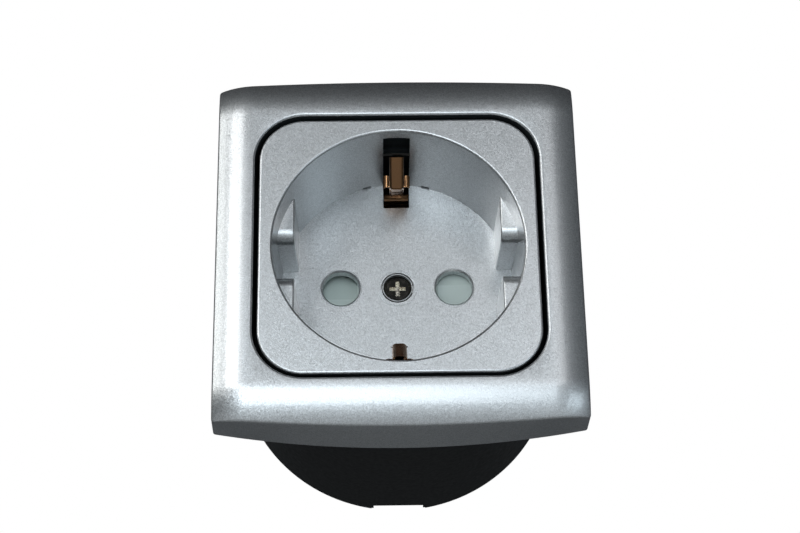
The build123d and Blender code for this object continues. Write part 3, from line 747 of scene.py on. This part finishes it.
strip = smoothCopy("earth_strap", "earthStrip")
cutting = bmesh.new()
cutting.from_mesh(strip.data)
everything = cutting.verts[:] + cutting.edges[:] + cutting.faces[:]
clipStart = clipSizes["path"][0][0] * mm
bmesh.ops.bisect_plane(cutting, geom=everything, clear_outer=True, plane_co=(0, clipStart, 0),
                       plane_no=(0, -1, 0))
bmesh.ops.holes_fill(cutting, edges=[edge for edge in cutting.edges if edge.is_boundary], sides=0)
cutting.to_mesh(strip.data)
cutting.free()
settle(strip, "earth_strap")
for end, flip in (("Upper", 1), ("Lower", -1)):
    for partName in ("channel", "tongue"):
        clipGrid = curledStrip(clipSizes, clipSizes[partName]) * np.array((1, 1, flip))
        settle(thickSheet(partName + end, clipGrid, clipSizes["sheet"]), "earth_strap")
    for sideName, side in (("Left", -1), ("Right", 1)):
        earGrid = clipEar(clipSizes, side) * np.array((1, 1, flip))
        settle(thickSheet("ear" + end + sideName, earGrid, clipSizes["sheet"]), "earth_strap")
print("earth clips shaped")


# Screws and the rear box, worked out by geometry nodes

def treeStep(tree, kind, values, **settings):
    # a node whose inputs are values or other nodes' outputs
    node = tree.nodes.new(kind)
    for key, value in settings.items():
        setattr(node, key, value)
    for label, value in values.items():
        for one in value if isinstance(value, list) else [value]:
            if isinstance(one, bpy.types.NodeSocket):
                tree.links.new(one, node.inputs[label])
            else:
                node.inputs[label].default_value = one
    return node.outputs[0]


def moved(tree, shape, x=0.0, y=0.0, z=0.0, turn=(0, 0, 0)):
    place = treeStep(tree, "ShaderNodeCombineXYZ", {"X": x, "Y": y, "Z": z})
    return treeStep(tree, "GeometryNodeTransform", {
        "Geometry": shape, "Translation": place, "Rotation": turn})


def cylinder(tree, radius, depth, vertices=32):
    return treeStep(tree, "GeometryNodeMeshCylinder", {
        "Vertices": vertices, "Radius": radius, "Depth": depth})


def block(tree, x, y, z):
    size = treeStep(tree, "ShaderNodeCombineXYZ", {"X": x, "Y": y, "Z": z})
    return treeStep(tree, "GeometryNodeMeshCube", {"Size": size})


def joined(tree, shapes):
    return treeStep(tree, "GeometryNodeJoinGeometry", {"Geometry": list(reversed(shapes))})


def without(tree, shape, cutters):
    return treeStep(tree, "GeometryNodeMeshBoolean", {"Mesh 1": shape, "Mesh 2": cutters}, solver="EXACT")


def finishTree(tree, shape, given, result):
    # stands the piece up along the wall's depth, moves it to its place and ends the tree
    turned = treeStep(tree, "GeometryNodeTransform", {
        "Geometry": shape, "Rotation": (-math.pi / 2, 0, 0), "Translation": given.outputs["Place"]})
    plain = treeStep(tree, "GeometryNodeRealizeInstances", {"Geometry": turned})
    dressed = treeStep(tree, "GeometryNodeSetMaterial", {
        "Geometry": plain, "Material": given.outputs["Finish"]})
    tree.links.new(dressed, result.inputs["Geometry"])


def screwTree():
    tree, given, result = makeGroup("threadedScrew", [
        ("Place", "Vector", (0, 0, 0)), ("Head radius", "Float", 0.0021),
        ("Head rear radius", "Float", 0.0011), ("Head height", "Float", 0.0011),
        ("Core radius", "Float", 0.0011), ("Length", "Float", 0.008), ("Thread height", "Float", 0.0002),
        ("Thread pitch", "Float", 0.0006), ("Slot length", "Float", 0.0022),
        ("Cross length", "Float", 0.0022), ("Slot width", "Float", 0.00045), ("Slot depth", "Float", 0.0007),
        ("Finish", "Material", None)], [("Geometry", "Geometry")], "GeometryNodeTree")
    size = given.outputs
    head = treeStep(tree, "GeometryNodeMeshCone", {
        "Vertices": 48, "Radius Bottom": size["Head radius"], "Radius Top": size["Head rear radius"],
        "Depth": size["Head height"]})
    deep = numberStep(tree, "MULTIPLY", size["Slot depth"], 2.0)
    slots = [block(tree, size["Slot length"], size["Slot width"], deep),
             block(tree, size["Slot width"], size["Cross length"], deep)]
    head = without(tree, head, slots)
    root = numberStep(tree, "SUBTRACT", size["Core radius"], size["Thread height"])
    shank = numberStep(tree, "SUBTRACT", size["Length"], size["Head height"])
    straight = numberStep(tree, "SUBTRACT", shank, root)
    half = numberStep(tree, "MULTIPLY", straight, 0.5)
    core = moved(tree, cylinder(tree, root, straight), z=numberStep(tree, "ADD", size["Head height"], half))
    tip = treeStep(tree, "GeometryNodeMeshCone", {
        "Vertices": 32, "Radius Bottom": root, "Radius Top": 0.0, "Depth": root})
    tip = moved(tree, tip, z=numberStep(tree, "SUBTRACT", size["Length"], root))
    # the thread starts below the head and ends before the tip
    climb = numberStep(tree, "SUBTRACT", straight, numberStep(tree, "MULTIPLY", size["Thread height"], 2.0))
    turns = numberStep(tree, "DIVIDE", climb, size["Thread pitch"])
    helix = treeStep(tree, "GeometryNodeCurveSpiral", {
        "Resolution": 24, "Rotations": turns, "Start Radius": root, "End Radius": root, "Height": climb})
    ridge = treeStep(tree, "GeometryNodeCurvePrimitiveCircle", {
        "Resolution": 4, "Radius": size["Thread height"]})
    thread = treeStep(tree, "GeometryNodeCurveToMesh", {
        "Curve": helix, "Profile Curve": ridge, "Fill Caps": True})
    thread = moved(tree, thread, z=numberStep(tree, "ADD", size["Head height"], size["Thread height"]))
    finishTree(tree, joined(tree, [head, core, tip, thread]), given, result)
    return tree


def boxTree():
    tree, given, result = makeGroup("roundBox", [
        ("Place", "Vector", (0, 0, 0)), ("Radius", "Float", 0.0282), ("Wall", "Float", 0.0015),
        ("Depth", "Float", 0.0388), ("Tower place", "Float", 0.0246), ("Tower radius", "Float", 0.0023),
        ("Pilot radius", "Float", 0.00115), ("Pilot depth", "Float", 0.009), ("Panel width", "Float", 0.0095),
        ("Panel length", "Float", 0.008), ("Panel depth", "Float", 0.0005), ("Notch width", "Float", 0.0087),
        ("Notch length", "Float", 0.0023), ("Notch depth", "Float", 0.0009), ("Finish", "Material", None)],
        [("Geometry", "Geometry")], "GeometryNodeTree")
    size = given.outputs
    middle = numberStep(tree, "MULTIPLY", size["Depth"], 0.5)
    inner = numberStep(tree, "SUBTRACT", size["Radius"], size["Wall"])
    outside = moved(tree, cylinder(tree, size["Radius"], size["Depth"], 256), z=middle)
    forward = numberStep(tree, "SUBTRACT", middle, size["Wall"])
    hollow = moved(tree, cylinder(tree, inner, size["Depth"], 256), z=forward)
    cup = without(tree, outside, [hollow])
    towerHeight = numberStep(tree, "SUBTRACT", size["Depth"], size["Wall"])
    towerHalf = numberStep(tree, "MULTIPLY", towerHeight, 0.5)
    leftPlace = numberStep(tree, "MULTIPLY", size["Tower place"], -1.0)
    towers = [moved(tree, cylinder(tree, size["Tower radius"], towerHeight), x=place, z=towerHalf)
              for place in (size["Tower place"], leftPlace)]
    cup = treeStep(tree, "GeometryNodeMeshBoolean", {"Mesh 2": [cup] + towers},
                   operation="UNION", solver="EXACT")
    twice = numberStep(tree, "MULTIPLY", size["Pilot depth"], 2.0)
    cutters = [moved(tree, cylinder(tree, size["Pilot radius"], twice), x=place)
               for place in (size["Tower place"], leftPlace)]
    panelHalf = numberStep(tree, "MULTIPLY", size["Panel width"], 0.5)
    straight = numberStep(tree, "SUBTRACT", size["Panel length"], panelHalf)
    panelLong = numberStep(tree, "MULTIPLY", straight, 2.0)
    archPlace = numberStep(tree, "SUBTRACT", size["Depth"], straight)
    panelDeep = numberStep(tree, "MULTIPLY", size["Panel depth"], 2.0)
    notchDeep = numberStep(tree, "MULTIPLY", size["Notch depth"], 2.0)
    notchLong = numberStep(tree, "MULTIPLY", size["Notch length"], 2.0)
    low = numberStep(tree, "MULTIPLY", size["Radius"], -1.0)
    for side in (size["Radius"], low):
        panel = block(tree, size["Panel width"], panelDeep, panelLong)
        arch = cylinder(tree, panelHalf, panelDeep, 48)
        notch = block(tree, size["Notch width"], notchDeep, notchLong)
        cutters.append(moved(tree, panel, y=side, z=size["Depth"]))
        cutters.append(moved(tree, arch, y=side, z=archPlace, turn=(math.pi / 2, 0, 0)))
        cutters.append(moved(tree, notch, y=side, z=size["Depth"]))
    finishTree(tree, without(tree, cup, cutters), given, result)
    return tree


def beadTree():
    tree, given, result = makeGroup("raisedBead", [
        ("Place", "Vector", (0, 0, 0)), ("Radius", "Float", 0.0024), ("Thickness", "Float", 0.00012),
        ("Finish", "Material", None)], [("Geometry", "Geometry")], "GeometryNodeTree")
    size = given.outputs
    path = treeStep(tree, "GeometryNodeCurvePrimitiveCircle", {"Resolution": 72, "Radius": size["Radius"]})
    section = treeStep(tree, "GeometryNodeCurvePrimitiveCircle", {
        "Resolution": 12, "Radius": size["Thickness"]})
    bead = treeStep(tree, "GeometryNodeCurveToMesh", {"Curve": path, "Profile Curve": section})
    finishTree(tree, bead, given, result)
    return tree


def grown(name, tree, values):
    piece = bpy.data.objects.new(name, bpy.data.meshes.new(name))
    bpy.context.collection.objects.link(piece)
    modifier = piece.modifiers.new("tree", "NODES")
    modifier.node_group = tree
    keys = {item.name: item.identifier for item in tree.interface.items_tree if item.in_out == "INPUT"}
    for label, value in values.items():
        modifier[keys[label]] = value
    bakeModifiers(piece)
    turned = bmesh.new()
    turned.from_mesh(piece.data)
    bmesh.ops.recalc_face_normals(turned, faces=turned.faces[:])
    turned.to_mesh(piece.data)
    turned.free()
    shadeSoftly(piece.data)
    return piece


screwSizes = {
    "countersunk": {"Head radius": 2.1, "Head rear radius": 1.1, "Head height": 1.1, "Core radius": 1.1,
                    "Thread height": 0.2, "Thread pitch": 0.65, "Slot length": 2.2, "Cross length": 2.2,
                    "Slot width": 0.45, "Slot depth": 0.7},
    "terminal": {"Head radius": 3.0, "Head rear radius": 3.0, "Head height": 2.2, "Core radius": 1.6,
                 "Thread height": 0.2, "Thread pitch": 0.6, "Slot length": 6.4, "Cross length": 0.8,
                 "Slot width": 0.8, "Slot depth": 0.9},
}
screwForm = screwTree()
for nodeName in sorted(frame["nodes"]):
    kind = "terminal" if nodeName.startswith("terminal_screw") else "countersunk"
    if "screw" not in nodeName or nodeName == "centre_screw":
        continue
    low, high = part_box(nodeName)
    values = {label: size * mm for label, size in screwSizes[kind].items()}
    values["Place"] = ((low[0] + high[0]) / 2, low[1], (low[2] + high[2]) / 2)
    values["Length"] = high[1] - low[1]
    values["Finish"] = finishes[finishOfSlot[slotOfNode[nodeName]]]
    settle(grown(nodeName.replace("_", "."), screwForm, values), nodeName)

# round the screw and the two pin holes, half sunk in the recess floor
beadSizes = {
    "level": 6.02, "thickness": 0.09,
    "screw": (0.0, 2.45), "pinLeft": (-9.5, 3.42), "pinRight": (9.5, 3.42),  # place across, radius
}
beadForm = beadTree()
for beadName in ("screw", "pinLeft", "pinRight"):
    x, radius = beadSizes[beadName]
    settle(grown(beadName + "Bead", beadForm, {
        "Place": (x * mm, beadSizes["level"] * mm, 0.0), "Radius": radius * mm,
        "Thickness": beadSizes["thickness"] * mm, "Finish": finishes["silverLacquer"]}), "centre_plate")

boxSizes = {
    "Radius": 28.2, "Wall": 1.5, "Depth": 38.8,
    "Tower place": 24.6, "Tower radius": 2.3, "Pilot radius": 1.15, "Pilot depth": 9.0,
    "Panel width": 9.5, "Panel length": 8.0, "Panel depth": 0.5,
    "Notch width": 8.7, "Notch length": 2.3, "Notch depth": 0.9,
}
boxValues = {label: size * mm for label, size in boxSizes.items()}
boxValues["Finish"] = finishes["blackMoulding"]
settle(grown("rearBoxMoulding", boxTree(), boxValues), "rear_box")
print("screws and rear box grown")
